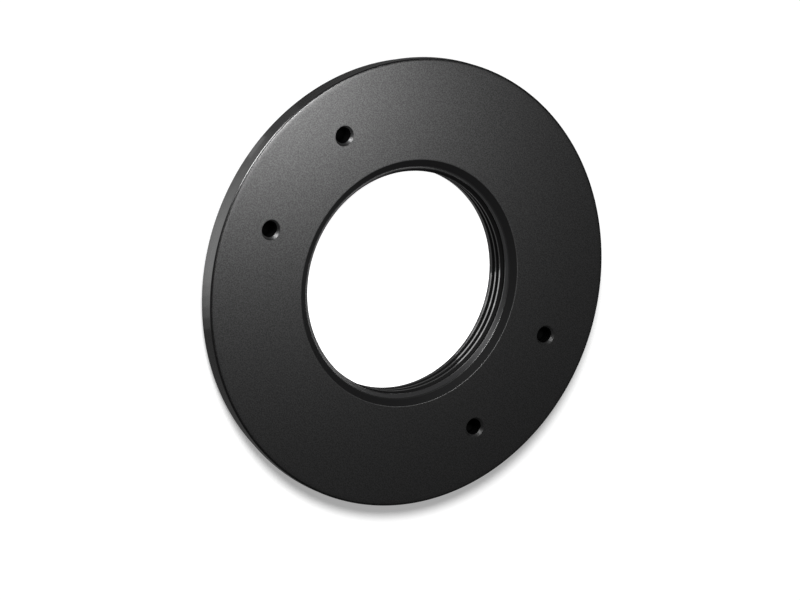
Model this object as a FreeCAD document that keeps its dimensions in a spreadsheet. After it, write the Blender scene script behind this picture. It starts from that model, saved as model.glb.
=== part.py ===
"""Lens adapter ring: one turned aluminium disc with a threaded bore and four blind tapped holes.

Millimetres, +Z out of the front face. The origin is on the bore axis, in the plane of the rear boss,
which is the plane the ring lies on. +X runs through the middle of one pair of screw holes.
"""
import FreeCAD, Part
import os
import Sketcher

# name: (size, what it is); lengths in mm, angles in degrees
SIZES = {
    "outer_diameter": (58.5, "front lip, the largest diameter"),
    "lip_thickness": (1.3, "front lip, from the front face back to the step"),
    "register_step": (0.4, "how far the register lies inside the lip, on the radius"),
    "flange_thickness": (3.2, "front face to the back of the register"),
    "boss_diameter": (38.0, "rear boss around the bore"),
    "boss_height": (1.6, "rear boss, from the back of the register"),
    "lip_chamfer": (0.15, "front outer edge, 45 degrees"),
    "register_chamfer": (0.15, "back outer edge of the register, 45 degrees"),
    "boss_chamfer": (0.3, "back outer edge of the boss, 45 degrees"),
    "thread_diameter": (30.0, "lens thread, nominal diameter"),
    "thread_spacing": (1.0, "lens thread, distance from crest to crest"),
    "mouth_diameter": (32.3, "shallow countersink where it meets the front face"),
    "mouth_depth": (0.53, "depth of the shallow countersink"),
    "relief_clearance": (0.2, "gap round the lens thread where the lead-in starts, on the radius"),
    "exit_chamfer": (0.6, "back edge of the bore, 45 degrees, past the root of the thread"),
    "hole_circle": (45.0, "circle through the four screw holes"),
    "pair_angle": (40.0, "angle between the two holes of a pair"),
    "screw_diameter": (2.5, "tapped holes, nominal diameter"),
    "screw_spacing": (0.45, "tapped holes, distance from crest to crest"),
    "hole_depth": (2.1, "tapped holes, full diameter"),
    "hole_mouth": (2.7, "tapped holes, countersink where it meets the front face"),
}
CREST_LOSS = 1.0825       # an inside 60 degree thread leaves its nominal size less this many spacings
COUNTERSINK_ANGLE = 90.0  # degrees, across the mouth of a tapped hole
DRILL_ANGLE = 118.0       # degrees, across the point that the drill leaves

doc = FreeCAD.newDocument("lens_adapter_ring")
sheet = doc.addObject("Spreadsheet::Sheet", "sizes")
for row, (name, (size, meaning)) in enumerate(SIZES.items(), start=1):
    sheet.set(f"A{row}", meaning)
    sheet.set(f"B{row}", str(size))
    sheet.setAlias(f"B{row}", name)
doc.recompute()

FRONT = "(sizes.flange_thickness + sizes.boss_height)"
BORE_RADIUS = f"(sizes.thread_diameter - {CREST_LOSS} * sizes.thread_spacing) / 2"
RELIEF_RADIUS = "(sizes.thread_diameter / 2 + sizes.relief_clearance)"
REGISTER_RADIUS = "(sizes.outer_diameter / 2 - sizes.register_step)"
HOLE_ACROSS = "sizes.hole_circle / 2 * cos(sizes.pair_angle * 1 deg / 2)"
HOLE_ASIDE = "sizes.hole_circle / 2 * sin(sizes.pair_angle * 1 deg / 2)"


def origin_feature(body, role):
    """The plane or axis of the body's own origin that has this role."""
    return next(item for item in body.Origin.OriginFeatures if item.Role == role)


def turned_section(body, name, corners):
    """A closed section in the XZ plane. Each corner is (radius, height), both as expressions."""
    sketch = body.newObject("Sketcher::SketchObject", name)
    sketch.AttachmentSupport = [(origin_feature(body, "XZ_Plane"), "")]
    sketch.MapMode = "FlatFace"
    count = len(corners)
    # any distinct points will do here: the constraints below move each corner to its own place
    start = [FreeCAD.Vector(index + 1, (index * index) % count + 1, 0) for index in range(count)]
    for index in range(count):
        sketch.addGeometry(Part.LineSegment(start[index], start[(index + 1) % count]), False)
    for index in range(count):
        sketch.addConstraint(Sketcher.Constraint("Coincident", index, 2, (index + 1) % count, 1))
    for index, corner in enumerate(corners):
        for kind, expression in zip(("DistanceX", "DistanceY"), corner):
            if expression is None:
                sketch.addConstraint(Sketcher.Constraint("PointOnObject", index, 1, -1))
            else:
                place = start[index].x if kind == "DistanceX" else start[index].y
                datum = sketch.addConstraint(Sketcher.Constraint(kind, -1, 1, index, 1, place))
                sketch.setExpression(f"Constraints[{datum}]", expression)
    return sketch


def screw_hole_centres(body, name):
    """One pair of screw holes as two circles in the front face, either side of the X axis."""
    sketch = body.newObject("Sketcher::SketchObject", name)
    sketch.AttachmentSupport = [(origin_feature(body, "XY_Plane"), "")]
    sketch.MapMode = "FlatFace"
    sketch.setExpression("AttachmentOffset.Base.z", FRONT)
    up = FreeCAD.Vector(0, 0, 1)
    for index, side in enumerate((1, -1)):
        centre = FreeCAD.Vector(20, 8 * side, 0)
        sketch.addGeometry(Part.Circle(centre, up, 1), False)
        across = sketch.addConstraint(Sketcher.Constraint("DistanceX", -1, 1, index, 3, centre.x))
        sketch.setExpression(f"Constraints[{across}]", HOLE_ACROSS)
        aside = sketch.addConstraint(Sketcher.Constraint("DistanceY", -1, 1, index, 3, centre.y))
        sketch.setExpression(f"Constraints[{aside}]", HOLE_ASIDE if side > 0 else f"-{HOLE_ASIDE}")
        bore = sketch.addConstraint(Sketcher.Constraint("Diameter", index, 2))
        sketch.setExpression(f"Constraints[{bore}]", "sizes.screw_diameter")
    return sketch


# The ring is turned from bar in one piece: front lip, register behind it, rear boss, and the bore with
# its shallow mouth and 45 degree lead-in. The bore stands at the crest diameter of the lens thread.
ring = doc.addObject("PartDesign::Body", "adapter_ring")
ring.Label = "adapter_ring"
section = turned_section(ring, "turned_section", [
    (BORE_RADIUS, "sizes.exit_chamfer"),
    (f"{BORE_RADIUS} + sizes.exit_chamfer", None),
    ("sizes.boss_diameter / 2 - sizes.boss_chamfer", None),
    ("sizes.boss_diameter / 2", "sizes.boss_chamfer"),
    ("sizes.boss_diameter / 2", "sizes.boss_height"),
    (f"{REGISTER_RADIUS} - sizes.register_chamfer", "sizes.boss_height"),
    (REGISTER_RADIUS, "sizes.boss_height + sizes.register_chamfer"),
    (REGISTER_RADIUS, f"{FRONT} - sizes.lip_thickness"),
    ("sizes.outer_diameter / 2", f"{FRONT} - sizes.lip_thickness"),
    ("sizes.outer_diameter / 2", f"{FRONT} - sizes.lip_chamfer"),
    ("sizes.outer_diameter / 2 - sizes.lip_chamfer", FRONT),
    ("sizes.mouth_diameter / 2", FRONT),
    (RELIEF_RADIUS, f"{FRONT} - sizes.mouth_depth"),
    (BORE_RADIUS, f"{FRONT} - sizes.mouth_depth - ({RELIEF_RADIUS} - {BORE_RADIUS})"),
])
blank = ring.newObject("PartDesign::Revolution", "turned_blank")
blank.Profile = section
blank.ReferenceAxis = (section, ["V_Axis"])
blank.Angle = 360
doc.recompute()
blank_volume = blank.Shape.Volume

# Four screw holes in two opposite pairs: drilled blind from the front, countersunk and tapped. They stand
# at the crest diameter of their thread.
centres = screw_hole_centres(ring, "screw_hole_centres")
doc.recompute()
pair = ring.newObject("PartDesign::Hole", "screw_hole_pair")
pair.Profile = centres
doc.recompute()
pair.ThreadType = 0
pair.DepthType = 0
pair.setExpression("Diameter", f"sizes.screw_diameter - {CREST_LOSS} * sizes.screw_spacing")
pair.setExpression("Depth", "sizes.hole_depth")
pair.DrillPoint = 1
pair.DrillPointAngle = DRILL_ANGLE
pair.DrillForDepth = False
pair.HoleCutType = "Countersink"
pair.HoleCutCustomValues = True
pair.HoleCutCountersinkAngle = COUNTERSINK_ANGLE
pair.setExpression("HoleCutDiameter", "sizes.hole_mouth")
doc.recompute()
pair_volume = blank_volume - pair.Shape.Volume

both_pairs = ring.newObject("PartDesign::PolarPattern", "both_hole_pairs")
both_pairs.Originals = [pair]
both_pairs.Axis = (origin_feature(ring, "Z_Axis"), [""])
both_pairs.Angle = 360
both_pairs.Occurrences = 2
ring.Tip = both_pairs
doc.recompute()

for item in doc.Objects:
    if "Invalid" in item.State or "Error" in item.State:
        raise RuntimeError(f"{item.Name} failed: {item.State}")
shape = ring.Shape
if shape.isNull() or not shape.isValid() or len(shape.Solids) != 1:
    raise RuntimeError("adapter_ring is not one valid solid")
pairs_cut = blank_volume - shape.Volume
if pair_volume <= 0 or abs(pairs_cut - 2 * pair_volume) > 1e-6 * blank_volume:
    raise RuntimeError("the screw holes do not all cut the ring")

os.makedirs("parts", exist_ok=True)
shape.exportStep(os.path.join("parts", f"{ring.Label}.step"))
box = shape.BoundBox
print(f"adapter_ring: {box.XLength:.3f} x {box.YLength:.3f} x {box.ZLength:.3f} mm, {shape.Volume:.1f} mm3")
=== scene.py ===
import math
import bpy
import numpy as np
from mathutils import Matrix, Vector


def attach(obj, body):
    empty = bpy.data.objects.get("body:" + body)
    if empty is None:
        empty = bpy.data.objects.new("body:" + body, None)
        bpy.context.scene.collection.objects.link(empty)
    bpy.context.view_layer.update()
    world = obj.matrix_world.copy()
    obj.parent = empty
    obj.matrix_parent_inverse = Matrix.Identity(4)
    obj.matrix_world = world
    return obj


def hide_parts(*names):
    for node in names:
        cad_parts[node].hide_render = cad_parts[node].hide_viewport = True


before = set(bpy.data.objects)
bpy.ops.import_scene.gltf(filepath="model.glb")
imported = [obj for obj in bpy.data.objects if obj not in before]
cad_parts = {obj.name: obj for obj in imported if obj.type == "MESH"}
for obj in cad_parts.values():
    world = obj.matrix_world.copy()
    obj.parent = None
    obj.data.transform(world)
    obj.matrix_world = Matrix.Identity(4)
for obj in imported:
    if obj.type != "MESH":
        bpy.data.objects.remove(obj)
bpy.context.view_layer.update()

# Adapter ring
# One disc turned from aluminium bar, with a lens thread cut in its bore and four small holes drilled and
# tapped blind from the front. It is bead blasted and then anodised black, so edges and threads stay crisp.
# It lies on its rear boss. Sizes are in millimetres, heights from the table, depths from the front face.
MM = 0.001
FRONT = 4.8
LIP_BACK = 3.5
BOSS_HEIGHT = 1.6
OUTER_RADIUS = 29.25
REGISTER_RADIUS = 28.85
BOSS_RADIUS = 19.0
STEPS = 360                      # round the ring

# the lens thread
CREST_RADIUS = 14.459
GROOVE_DEPTH = 0.541
PITCH = 1.0
CREST_DEPTH = 1.78               # depth of a thread crest at +X
RUN_OUT = 3.75                   # depth at which the groove begins to run out, over a quarter of a turn
EXIT_CHAMFER = 0.6
ROWS_PER_PITCH = 32
CORNER_CUT = 0.07                # how far the first crest is cut back at its corner with the lead-in
CORNER_CUT_OVER = 0.2            # depth over which that cut grows from nothing

# the mouth of the bore, from the lead-in to the face: radius, height, size of the edge break
MOUTH = np.array([
    (15.11, 4.18, 0.0),
    (15.2, 4.27, 0.08),
    (16.15, FRONT, 0.08),
    (16.35, FRONT, 0.0),
])
# the outside of the ring, from the face to the rear end of the bore
OUTSIDE = np.array([
    (26.5, FRONT, 0.0),
    (28.78, FRONT, 0.25),
    (29.07, FRONT - 0.025, 0.08),
    (OUTER_RADIUS, FRONT - 0.16, 0.04),
    (OUTER_RADIUS, LIP_BACK, 0.05),
    (REGISTER_RADIUS, LIP_BACK, 0.05),
    (REGISTER_RADIUS, BOSS_HEIGHT + 0.15, 0.05),
    (REGISTER_RADIUS - 0.15, BOSS_HEIGHT, 0.05),
    (BOSS_RADIUS, BOSS_HEIGHT, 0.05),
    (BOSS_RADIUS, 0.3, 0.05),
    (BOSS_RADIUS - 0.3, 0.0, 0.05),
    (CREST_RADIUS + EXIT_CHAMFER, 0.0, 0.0),
])

# the four screw holes: tapped M2.5, with a 90 degree countersink
HOLE_CIRCLE = 22.5               # radius
HOLE_ANGLES = (20.0, 160.0, 200.0, 340.0)
HOLE_MOUTH = 1.35                # radius of the countersink where it meets the face
HOLE_CREST_RADIUS = 1.006
HOLE_GROOVE_DEPTH = 0.244
HOLE_PITCH = 0.45
HOLE_CREST_DEPTH = 0.3           # depth of a crest on a hole's +X side
HOLE_RUN_OUT = 1.8
HOLE_DEPTH = 2.1
DRILL_POINT = 0.605              # length of the cone that the drill leaves
HOLE_CELL = (5, 2.0)             # half a cell round a hole: angular steps, and millimetres along the radius


def broken_edges(corners, count=5):
    """A section with every corner broken: corner P turns into the short parabola
    P + t((1 - s)^2 A + s^2 B), where A and B point to its neighbours, t is its edge break and s goes 0 to 1.
    One more point on either side, at P + 1.3 t A and P + 1.3 t B, keeps the flats flat up to the break."""
    place, size = corners[:, :2], corners[:, 2]
    ahead = np.diff(place, axis=0)
    ahead /= np.linalg.norm(ahead, axis=1)[:, None]
    s = np.linspace(0, 1, count)
    back = np.concatenate([[1.3], (1 - s) ** 2, [0]])[None, :, None]
    onward = np.concatenate([[0], s ** 2, [1.3]])[None, :, None]
    bend = -ahead[:-1, None] * back + ahead[1:, None] * onward
    inner = place[1:-1, None] + size[1:-1, None, None] * bend
    return np.vstack([place[:1], inner.reshape(-1, 2), place[-1:]])


def turned(section, angles):
    """Each (radius, height) of the section swept round the bore axis: x = r cos a, y = r sin a, z = h."""
    r, h = section[None, :, 0], section[None, :, 1]
    a = angles[:, None]
    return np.stack([r * np.cos(a), r * np.sin(a), h + 0 * a], axis=-1)


def thread_wall(angles, depths, crest_depth, pitch, crest, groove, run_out):
    """Radius of a threaded wall. It is the crest radius up to an eighth of the pitch either side of a crest,
    and from there it grows at 60 degrees down to the root. The crest comes nearer to the face by one pitch
    in a turn. Past the run-out depth the cut is drawn back, over a quarter of the pitch, until none is
    left."""
    turn = (depths - crest_depth + pitch * angles / (2 * np.pi)) / pitch
    off = np.abs(turn - np.round(turn)) * pitch
    middle = depths + (np.floor(turn) + 0.5 - turn) * pitch
    drawn_back = groove * np.clip((middle - run_out) * 4 / pitch, 0, 1)
    return crest + np.clip(np.clip((off - pitch / 8) * math.sqrt(3), 0, groove) - drawn_back, 0, None)


def dulled(cone, flank, dull):
    """The larger of two radii whose corner stands inwards, with the corner cut back by dull to a land along
    the bore. The cone loses 1 mm of radius for each of depth and the flank gains the root of 3, so the mix
    of 0.634 of the cone and 0.366 of the flank neither gains nor loses."""
    return np.maximum(np.maximum(cone, flank), 0.634 * cone + 0.366 * flank + dull)


def triangles(grid, base):
    """Two triangles for each cell of a grid of vertices, numbered from base, rows along the first axis."""
    m, n = grid.shape[:2]
    number = base + np.arange(m * n).reshape(m, n)
    a, b, c, d = number[:-1, :-1], number[1:, :-1], number[1:, 1:], number[:-1, 1:]
    return np.concatenate([np.stack([a, c, b], -1).reshape(-1, 3), np.stack([a, d, c], -1).reshape(-1, 3)])


def welded(patches):
    """One closed surface from patches of points, whose shared borders fall on the same points. Points in
    the same place become one, and triangles that lose a side are left out."""
    points, faces, base = [], [], 0
    for grid, keep in patches:
        cells = triangles(grid, base)
        faces.append(cells if keep is None else cells[np.tile(keep.reshape(-1), 2)])
        points.append(grid.reshape(-1, 3))
        base += points[-1].shape[0]
    points, faces = np.vstack(points), np.vstack(faces)
    _, first, number = np.unique(np.round(points, 4), axis=0, return_index=True, return_inverse=True)
    faces = number.reshape(-1)[faces]
    whole = (faces[:, 0] != faces[:, 1]) & (faces[:, 1] != faces[:, 2]) & (faces[:, 0] != faces[:, 2])
    return points[first], faces[whole]


around = np.linspace(0, 2 * np.pi, STEPS + 1)

# the bore: rows that follow the lens thread, stopped at the mouth and at the rear face
front_end, rear_end = FRONT - MOUTH[0, 1], FRONT
row = CREST_DEPTH + np.arange(-3 * ROWS_PER_PITCH, 6 * ROWS_PER_PITCH + 1) * PITCH / ROWS_PER_PITCH
depth = np.clip(row[None, :] - PITCH * around[:, None] / (2 * np.pi), front_end, rear_end)
thread = thread_wall(around[:, None], depth, CREST_DEPTH, PITCH, CREST_RADIUS, GROOVE_DEPTH, RUN_OUT)
lead_in = MOUTH[0, 0] - (depth - front_end)
radius = dulled(lead_in, thread, CORNER_CUT * np.clip((depth - front_end) / CORNER_CUT_OVER, 0, 1))
radius = np.maximum(radius, CREST_RADIUS + depth - (rear_end - EXIT_CHAMFER))
cos, sin = np.cos(around)[:, None], np.sin(around)[:, None]
bore = np.stack([radius * cos, radius * sin, FRONT - depth], -1)

mouth = turned(broken_edges(MOUTH), around)
outside = turned(broken_edges(OUTSIDE), around)

# the front face: rings from the mouth to the outside, with a cell left open round each hole
reach, width = HOLE_CELL
rings = np.concatenate([
    [MOUTH[-1, 0]],
    np.linspace(17, HOLE_CIRCLE - width, 5),
    np.linspace(HOLE_CIRCLE - width, HOLE_CIRCLE + width, 9)[1:],
    [OUTSIDE[0, 0]]])
face = turned(np.stack([rings, np.full(rings.size, FRONT)], -1), around)
inner = np.argmin(np.abs(rings - (HOLE_CIRCLE - width)))
outer = np.argmin(np.abs(rings - (HOLE_CIRCLE + width)))
keep = np.ones((STEPS, rings.size - 1), bool)
patches = [(bore[:, ::-1], None), (mouth, None), (outside, None)]

# depths down a hole: its countersink, its tapped wall and the tip of the cone that the drill leaves
countersink = HOLE_MOUTH - HOLE_CREST_RADIUS
tip = HOLE_DEPTH + DRILL_POINT
level = np.concatenate([np.linspace(0, countersink, 5), np.linspace(0.38, HOLE_DEPTH, 44), [tip]])
drilled = (tip - level) * HOLE_CREST_RADIUS / DRILL_POINT
hole_centres = [
    np.array([HOLE_CIRCLE * math.cos(angle), HOLE_CIRCLE * math.sin(angle), FRONT])
    for angle in np.radians(HOLE_ANGLES)]
for angle, centre in zip(HOLE_ANGLES, hole_centres):
    step = int(round(angle / 360 * STEPS))
    keep[step - reach:step + reach, inner:outer] = False
    span = np.arange(step - reach, step + reach + 1)
    side = np.arange(inner, outer + 1)
    # the cell's border, once round, and the hole's mouth with as many points
    border = np.concatenate([
        face[span[:-1], outer],
        face[span[-1], side[:0:-1]],
        face[span[:0:-1], inner],
        face[span[0], side[:-1]]])
    border = np.vstack([border, border[:1]])
    turn = np.arctan2(border[:, 1] - centre[1], border[:, 0] - centre[0])
    lip = centre + HOLE_MOUTH * np.stack([np.cos(turn), np.sin(turn), 0 * turn], -1)
    s = np.linspace(0, 1, 6)[None, :, None] ** 1.5
    patches.append((lip[:, None] * (1 - s) + border[:, None] * s, None))
    turns = np.unwrap(turn)[:, None]
    tapped = thread_wall(
        turns, level[None, :], HOLE_CREST_DEPTH, HOLE_PITCH,
        HOLE_CREST_RADIUS, HOLE_GROOVE_DEPTH, HOLE_RUN_OUT)
    r = np.where(level > HOLE_DEPTH + 0.0001, drilled, np.maximum(tapped, HOLE_MOUTH - level))
    z = np.broadcast_to(FRONT - level, r.shape)
    wall = np.stack([centre[0] + r * np.cos(turns), centre[1] + r * np.sin(turns), z], -1)
    patches.append((wall[:, ::-1], None))
patches.append((face, keep))
points, faces = welded(patches)

mesh = bpy.data.meshes.new("ring_body")
mesh.from_pydata(points * MM, [], faces)
mesh.update()
ring = bpy.data.objects.new("ring_body", mesh)
bpy.context.scene.collection.objects.link(ring)
mesh.polygons.foreach_set("use_smooth", np.ones(len(mesh.polygons), bool))
mesh.set_sharp_from_angle(angle=math.radians(32))
flat = ring.modifiers.new("flat_faces", "WEIGHTED_NORMAL")
flat.keep_sharp = True
flat.weight = 80

# The face is bead blasted. The rim and the thread's crests are smooth from the lathe, with fine rings left
# by the tool. The mouth's cone is dull. The lead-in behind it has a lighter colour, a painted light, and less
# gloss. The grooves and the small holes have a darker colour and hardly any gloss, a painted shade for the
# shade inside them. A finish has a name, a colour, a roughness, a gloss, and a grain: how many to the metre
# and how high in metres.
for name, colour, roughness, gloss, grain, height in (
        ("blasted_face", 0.006, 0.385, 0.5, 8500, 0.000008),
        ("turned_edge", 0.006, 0.27, 0.5, 7000, 0.0000008),
        ("groove_painted_shade", 0.002, 0.55, 0.06, 7000, 0.000001),
        ("dull_cone", 0.006, 0.5, 0.045, 7000, 0.000001),
        ("hole_painted_shade", 0.0008, 0.6, 0.015, 7000, 0.000001),
        ("lead_in", 0.02, 0.3, 0.25, 7000, 0.0000008)):
    finish = bpy.data.materials.new(name)
    finish.use_nodes = True
    nodes, links = finish.node_tree.nodes, finish.node_tree.links
    shader = nodes["Principled BSDF"]
    shader.inputs["Base Color"].default_value = (colour, colour, colour * 1.03, 1)
    shader.inputs["Roughness"].default_value = roughness
    shader.inputs["IOR"].default_value = 1.6
    shader.inputs["Specular IOR Level"].default_value = gloss
    place = nodes.new("ShaderNodeTexCoord")
    speckle = nodes.new("ShaderNodeTexNoise")
    speckle.inputs["Scale"].default_value = grain
    speckle.inputs["Detail"].default_value = 0
    if name == "blasted_face":
        links.new(place.outputs["Object"], speckle.inputs["Vector"])
        # the blasted grains do not all shine alike
        grains = nodes.new("ShaderNodeTexNoise")
        grains.inputs["Scale"].default_value = 6500
        grains.inputs["Detail"].default_value = 0
        links.new(place.outputs["Object"], grains.inputs["Vector"])
        shine = nodes.new("ShaderNodeMapRange")
        shine.inputs["From Min"].default_value = 0.25
        shine.inputs["From Max"].default_value = 0.75
        shine.inputs["To Min"].default_value = gloss - 0.16
        shine.inputs["To Max"].default_value = gloss + 0.16
        links.new(grains.outputs["Fac"], shine.inputs["Value"])
        links.new(shine.outputs["Result"], shader.inputs["Specular IOR Level"])
    else:
        # rings round the bore axis: the noise sees only the distance from the axis and the height
        across = nodes.new("ShaderNodeVectorMath")
        across.operation = "MULTIPLY"
        across.inputs[1].default_value = (1, 1, 0)
        links.new(place.outputs["Object"], across.inputs[0])
        distance = nodes.new("ShaderNodeVectorMath")
        distance.operation = "LENGTH"
        links.new(across.outputs["Vector"], distance.inputs[0])
        apart = nodes.new("ShaderNodeSeparateXYZ")
        links.new(place.outputs["Object"], apart.inputs["Vector"])
        section = nodes.new("ShaderNodeCombineXYZ")
        links.new(distance.outputs["Value"], section.inputs["X"])
        links.new(apart.outputs["Z"], section.inputs["Z"])
        links.new(section.outputs["Vector"], speckle.inputs["Vector"])
    bump = nodes.new("ShaderNodeBump")
    bump.inputs["Distance"].default_value = height
    links.new(speckle.outputs["Fac"], bump.inputs["Height"])
    links.new(bump.outputs["Normal"], shader.inputs["Normal"])
    mesh.materials.append(finish)

# where each finish goes, by the triangle's upward tilt, height, distance from the bore axis and from a hole
facing = np.zeros(len(mesh.polygons) * 3)
mesh.polygons.foreach_get("normal", facing)
up = facing.reshape(-1, 3)[:, 2]
middle = np.zeros(len(mesh.polygons) * 3)
mesh.polygons.foreach_get("center", middle)
middle = middle.reshape(-1, 3) * 1000
high = middle[:, 2]
out = np.hypot(middle[:, 0], middle[:, 1])
from_hole = np.min([np.hypot(middle[:, 0] - c[0], middle[:, 1] - c[1]) for c in hole_centres], axis=0)
on_face = (up > 0.94) & (high > FRONT - 0.06)
in_mouth = (from_hole < 1.36) & (high >= FRONT - 0.34)
# the holes and the thread's grooves get a darker colour and almost no gloss, a painted shade for the shade
# inside them
in_hole = (from_hole < 1.3) & (high < FRONT - 0.34)
in_groove = (out > CREST_RADIUS + 0.03) & (out < 15.05) & (high > 0.65) & (high < 3.68)
on_cone = (out > 15.25) & (out < 16.12) & (high > 4.25)
# the break between the face and its chamfer took the blast at an angle and is dull
on_break = (up > 0.78) & (up <= 0.94) & (out > 28) & (high > FRONT - 0.1)
# the lead-in gets a lighter colour, a painted light for the lamp light it catches
on_lead_in = (out > 14.72) & (out < 15.12) & (high > 3.72) & (high < 4.2)
regions = (
    ("blasted_face", on_face | in_mouth),
    ("hole_painted_shade", in_hole),
    ("groove_painted_shade", in_groove),
    ("dull_cone", on_cone | on_break),
    ("lead_in", on_lead_in))
numbers = [mesh.materials.find(name) for name, _ in regions]
chosen = np.select([where for _, where in regions], numbers, mesh.materials.find("turned_edge"))
mesh.polygons.foreach_set("material_index", chosen.astype(np.int32))
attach(ring, "root")
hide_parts("adapter_ring")

# Floor
# A plain white table top, lit by the window and a little by itself, so that it is white round the ring and
# keeps the ring's shadow. Seen through the bore it glows a full white, a painted light that covers the ring's
# shadow there. The ring's own surface mirrors it darker than it is, so that the black stays black.
BORE_GLOW_RADIUS = 0.0150                  # radius in metres inside which the table glows fully, a painted light over the ring's shadow
bpy.ops.mesh.primitive_plane_add(size=4, location=(0, 0, 0))
floor = bpy.context.object
floor.name = "floor"
white = bpy.data.materials.new("white_table")
white.use_nodes = True
nodes, links = white.node_tree.nodes, white.node_tree.links
paint = nodes["Principled BSDF"]
paint.inputs["Roughness"].default_value = 0.9
paint.inputs["Specular IOR Level"].default_value = 0.0
path = nodes.new("ShaderNodeLightPath")
tone = nodes.new("ShaderNodeMapRange")
tone.inputs["To Min"].default_value = 0.8
tone.inputs["To Max"].default_value = 0.12
links.new(path.outputs["Is Glossy Ray"], tone.inputs["Value"])
links.new(tone.outputs["Result"], paint.inputs["Base Color"])
seen = nodes.new("ShaderNodeMath")
seen.operation = "MAXIMUM"
links.new(path.outputs["Is Camera Ray"], seen.inputs[0])
links.new(path.outputs["Is Transmission Ray"], seen.inputs[1])
mirrored = nodes.new("ShaderNodeMath")
mirrored.operation = "MULTIPLY"
mirrored.inputs[1].default_value = 0.2
links.new(path.outputs["Is Glossy Ray"], mirrored.inputs[0])
shown = nodes.new("ShaderNodeMath")
shown.operation = "MAXIMUM"
links.new(seen.outputs[0], shown.inputs[0])
links.new(mirrored.outputs[0], shown.inputs[1])
spot = nodes.new("ShaderNodeTexCoord")
from_axis = nodes.new("ShaderNodeVectorMath")
from_axis.operation = "LENGTH"
links.new(spot.outputs["Object"], from_axis.inputs[0])
# full glow inside the bore radius and a weaker one outside: a painted light over the ring's shadow in the
# bore
glow_by_radius = nodes.new("ShaderNodeMapRange")
glow_by_radius.inputs["From Min"].default_value = BORE_GLOW_RADIUS
glow_by_radius.inputs["From Max"].default_value = BORE_GLOW_RADIUS + 0.0002
glow_by_radius.inputs["To Min"].default_value = 1.0
glow_by_radius.inputs["To Max"].default_value = 0.32
links.new(from_axis.outputs["Value"], glow_by_radius.inputs["Value"])
glow = nodes.new("ShaderNodeMath")
glow.operation = "MULTIPLY"
links.new(shown.outputs[0], glow.inputs[0])
links.new(glow_by_radius.outputs["Result"], glow.inputs[1])
paint.inputs["Emission Color"].default_value = (1, 1, 1, 1)
links.new(glow.outputs[0], paint.inputs["Emission Strength"])
floor.data.materials.append(white)

# Light
# Soft boxes and small panels round the ring, which light the ring alone, a window that lights the table
# alone, and a dim white room.
world = bpy.data.worlds.new("room")
bpy.context.scene.world = world
world.use_nodes = True
world.node_tree.nodes["Background"].inputs["Color"].default_value = (1, 1, 1, 1)
world.node_tree.nodes["Background"].inputs["Strength"].default_value = 0.1

ring_alone = bpy.data.collections.new("ring_alone")
ring_alone.objects.link(ring)
floor_alone = bpy.data.collections.new("floor_alone")
floor_alone.objects.link(floor)


def soft_box(name, place, facing, roll, size, radiance):
    """A rectangular lamp at a place in millimetres. Its back points along facing, and its width lies
    level when roll is 0. Its power is its radiance times four times its area."""
    lamp = bpy.data.lights.new(name, "AREA")
    lamp.shape = "RECTANGLE"
    lamp.size, lamp.size_y = size[0] * MM, size[1] * MM
    lamp.energy = radiance * lamp.size * lamp.size_y * 4
    back = Vector(facing).normalized()
    level = Vector((0, 0, 1)).cross(back).normalized() if abs(back.z) < 0.999 else Vector((1, 0, 0))
    steep = back.cross(level)
    wide = math.cos(math.radians(roll)) * level + math.sin(math.radians(roll)) * steep
    high = back.cross(wide)
    turned_to = Matrix([wide, high, back]).transposed().to_4x4()
    box = bpy.data.objects.new(name, lamp)
    box.matrix_world = Matrix.Translation(Vector(place) * MM) @ turned_to
    box.visible_camera = False
    box.light_linking.receiver_collection = ring_alone
    bpy.context.scene.collection.objects.link(box)


def polar(azimuth, elevation, distance):
    """The point at that azimuth from +X, elevation above the table and distance, in millimetres."""
    a, e = math.radians(azimuth), math.radians(elevation)
    return Vector((math.cos(e) * math.cos(a), math.cos(e) * math.sin(a), math.sin(e))) * distance


# the key brightens the face towards one side, and three strips draw its edges
key = polar(92.3, 74.4, 90)
soft_box("key", key, key, -54.8, (8.0, 22.4), 67)
rim = Vector((-29, 0, 5))
edge = 60 * Vector((-0.861, 0.075, 0.503))
soft_box("edge_strip", rim + edge, edge, 0, (44, 7), 18)
soft_box("arris_strip", Vector((-29.2, 2.8, 51.4)), (-0.606, 0.408, 0.682), 22.3, (26, 3.0), 37)
chamfer = polar(173, 46, 30)
soft_box("chamfer_strip", Vector((-29, 0, 4.7)) + chamfer, chamfer, 0, (20, 6), 26)

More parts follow.
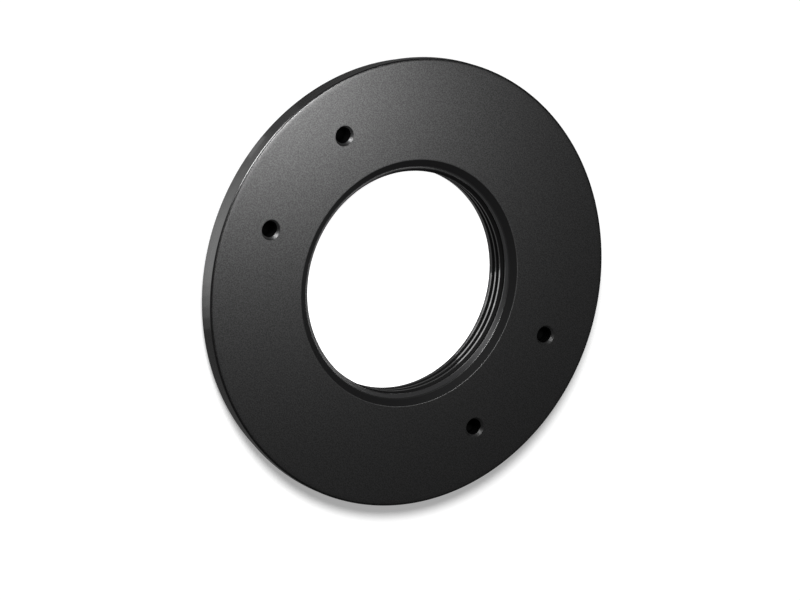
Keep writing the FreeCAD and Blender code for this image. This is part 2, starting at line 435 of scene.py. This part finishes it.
# panels that lie just over the table: beside the rim, fading out at both ends, and inside the bore
over_table = Vector((0, 0, 0.05))
for azimuth in range(170, 230, 3):
    fade = min(1, (azimuth - 167) / 33, (229 - azimuth) / 15)
    soft_box("rim_panel", polar(azimuth, 0, 32.9) + over_table, (0, 0, -1), -azimuth, (6.6, 5.2), 1.12 * fade)
for azimuth in (2, 17, 32):
    soft_box("bore_panel", polar(azimuth, 0, 10.5) + over_table, (0, 0, -1), -azimuth, (6.5, 3.6), 2.8)

sky = bpy.data.lights.new("window", "SUN")
sky.energy = 3.4
sky.angle = math.radians(14)
window = bpy.data.objects.new("window", sky)
window.rotation_euler = polar(175, 50, 1).to_track_quat("Z", "Y").to_euler()
window.light_linking.receiver_collection = floor_alone
bpy.context.scene.collection.objects.link(window)

# Camera
# The photograph's camera, worked out from the ring's own circles. Here the axes point right in the picture,
# down in it and away from the camera. The ring's axis leans from the view by TILT, in a direction that is
# TWIST below the picture's right, and +X of the ring is TURN round it from the direction across that lean.
TILT, TWIST, TURN = 0.5748, 0.3567, math.radians(69.59)
FACE_CENTRE = Vector((0.0462, -0.0715, 23.84)) * OUTER_RADIUS
FOCAL_LENGTH, PICTURE_WIDTH = 5430, 800                          # in pixels
SENSOR_WIDTH = 36
normal = Vector((math.sin(TILT) * math.cos(TWIST), math.sin(TILT) * math.sin(TWIST), -math.cos(TILT)))
down = Vector((-math.sin(TWIST), math.cos(TWIST), 0))
side = normal.cross(down)
x_axis = math.cos(TURN) * down + math.sin(TURN) * side
y_axis = normal.cross(x_axis)
placed = Matrix([x_axis, y_axis, normal]).transposed()
origin = FACE_CENTRE - FRONT * normal
# a Blender camera looks along -Z with +Y up
flip = Matrix.Diagonal((1, -1, -1))
world_to_camera = (flip @ placed).to_4x4()
world_to_camera.translation = flip @ origin * MM
eye = bpy.data.cameras.new("camera")
eye.lens = FOCAL_LENGTH / PICTURE_WIDTH * SENSOR_WIDTH
eye.sensor_width = SENSOR_WIDTH
eye.clip_start = 0.01
camera = bpy.data.objects.new("camera", eye)
camera.matrix_world = world_to_camera.inverted()
bpy.context.scene.collection.objects.link(camera)
bpy.context.scene.camera = camera
bpy.context.scene.view_settings.view_transform = "Standard"
